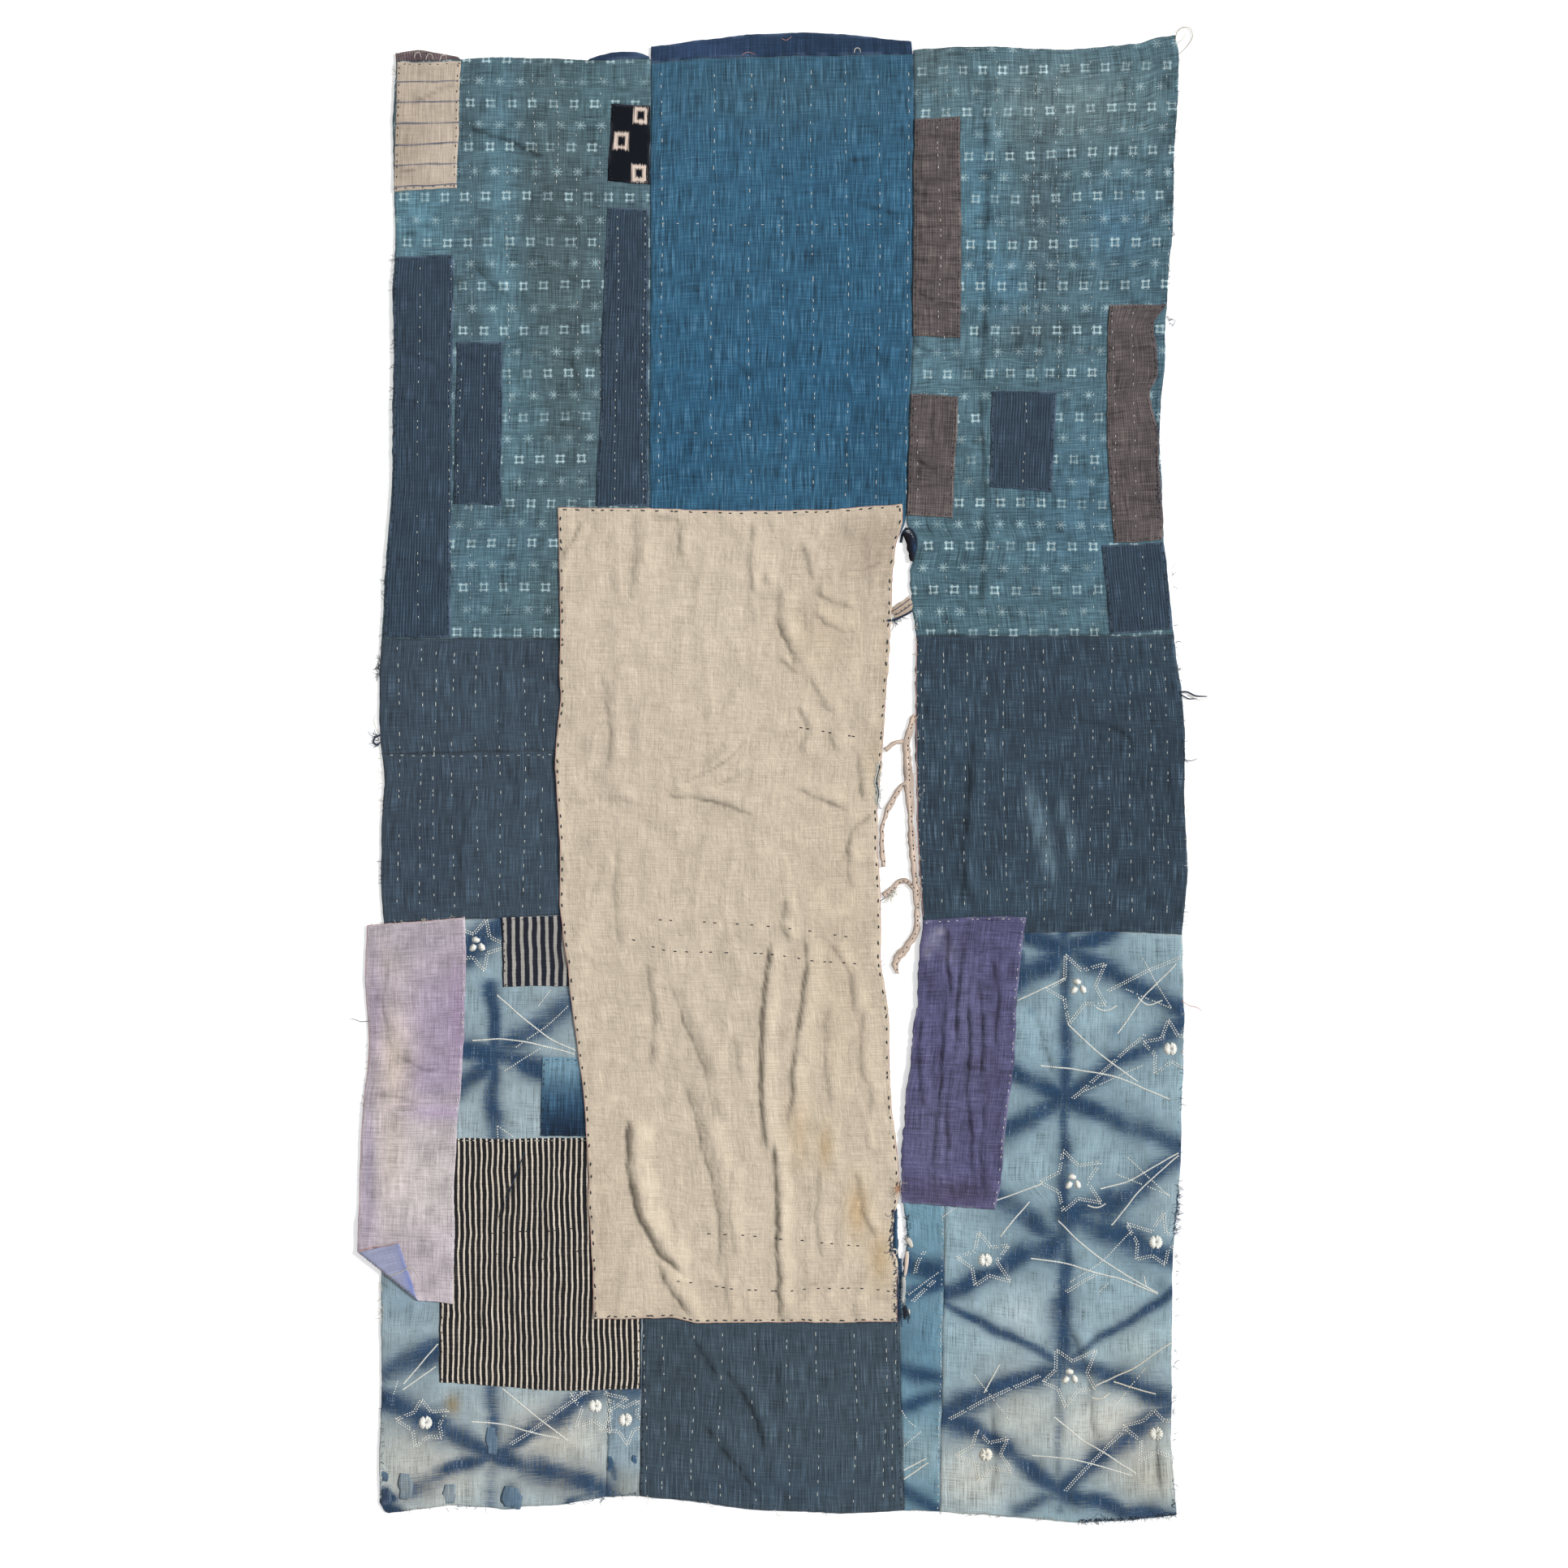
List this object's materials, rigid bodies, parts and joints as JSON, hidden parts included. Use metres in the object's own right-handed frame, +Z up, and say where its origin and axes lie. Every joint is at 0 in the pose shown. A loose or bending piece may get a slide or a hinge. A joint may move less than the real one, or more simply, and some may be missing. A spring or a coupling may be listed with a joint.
{
  "type": "boro patched cloth",
  "caption": "Patched indigo cotton futon cover laid flat: loom-width columns sewn side by side, mending patches, and a long linen panel over the lower middle.",
  "frame": {"origin": "under the middle of the cloth, at the level of the surface that it lies on", "axes": "+X to the cloth's right, +Y to its top edge, +Z up from its face"},
  "size_m": [1.022, 1.8356, 0.0109],
  "materials": {
    "kasuri": "faded ikat cotton, matt",
    "blue_cotton": "indigo-dyed cotton, matt",
    "indigo_cotton": "dark indigo cotton, matt",
    "shibori": "fold-dyed and stitch-resist cotton, matt",
    "navy_stripe": "fine striped navy cotton, matt",
    "brown_cotton": "brown cotton, matt",
    "tan_cotton": "tan cotton with thin lines, matt",
    "black_kasuri": "black ikat cotton with hollow white squares, matt",
    "bold_stripe": "dark and beige striped cotton, matt",
    "ombre_indigo": "shaded indigo cotton, matt",
    "lavender_cotton": "faded lavender cotton, matt",
    "purple_cotton": "purple cotton, matt",
    "linen": "coarse plain-weave linen, matt",
    "navy_cotton": "navy cotton, matt",
    "seam_tape": "pinkish cotton tape, matt"
  },
  "bodies": {
    "root": {"kasuri_left": "kasuri", "indigo_left_upper": "indigo_cotton", "indigo_left_lower": "indigo_cotton", "shibori_left": "shibori", "shibori_left_strip": "shibori", "blue_centre": "blue_cotton", "indigo_centre": "indigo_cotton", "kasuri_right": "kasuri", "indigo_right": "indigo_cotton", "shibori_right": "shibori", "shibori_right_strip": "shibori", "band_navy": "navy_cotton", "band_brown": "brown_cotton", "band_blue": "navy_cotton", "tan_patch": "tan_cotton", "black_kasuri_patch": "black_kasuri", "navy_strip": "navy_stripe", "navy_left_long": "navy_stripe", "navy_left_short": "navy_stripe", "navy_small_right": "navy_stripe", "navy_edge_right": "navy_stripe", "brown_upper": "brown_cotton", "brown_lower": "brown_cotton", "brown_edge": "brown_cotton", "stripe_patch_small": "bold_stripe", "stripe_patch_large": "bold_stripe", "ombre_patch": "ombre_indigo", "lavender_patch": "lavender_cotton", "purple_patch": "purple_cotton", "linen_panel": "linen", "tape_main": "seam_tape", "tape_arm": "seam_tape", "tape_upper_branch": "seam_tape", "tape_lower_branch": "seam_tape", "bridge_strap": "tan_cotton", "seam_roll": "navy_cotton"}
  },
  "joints": []
}
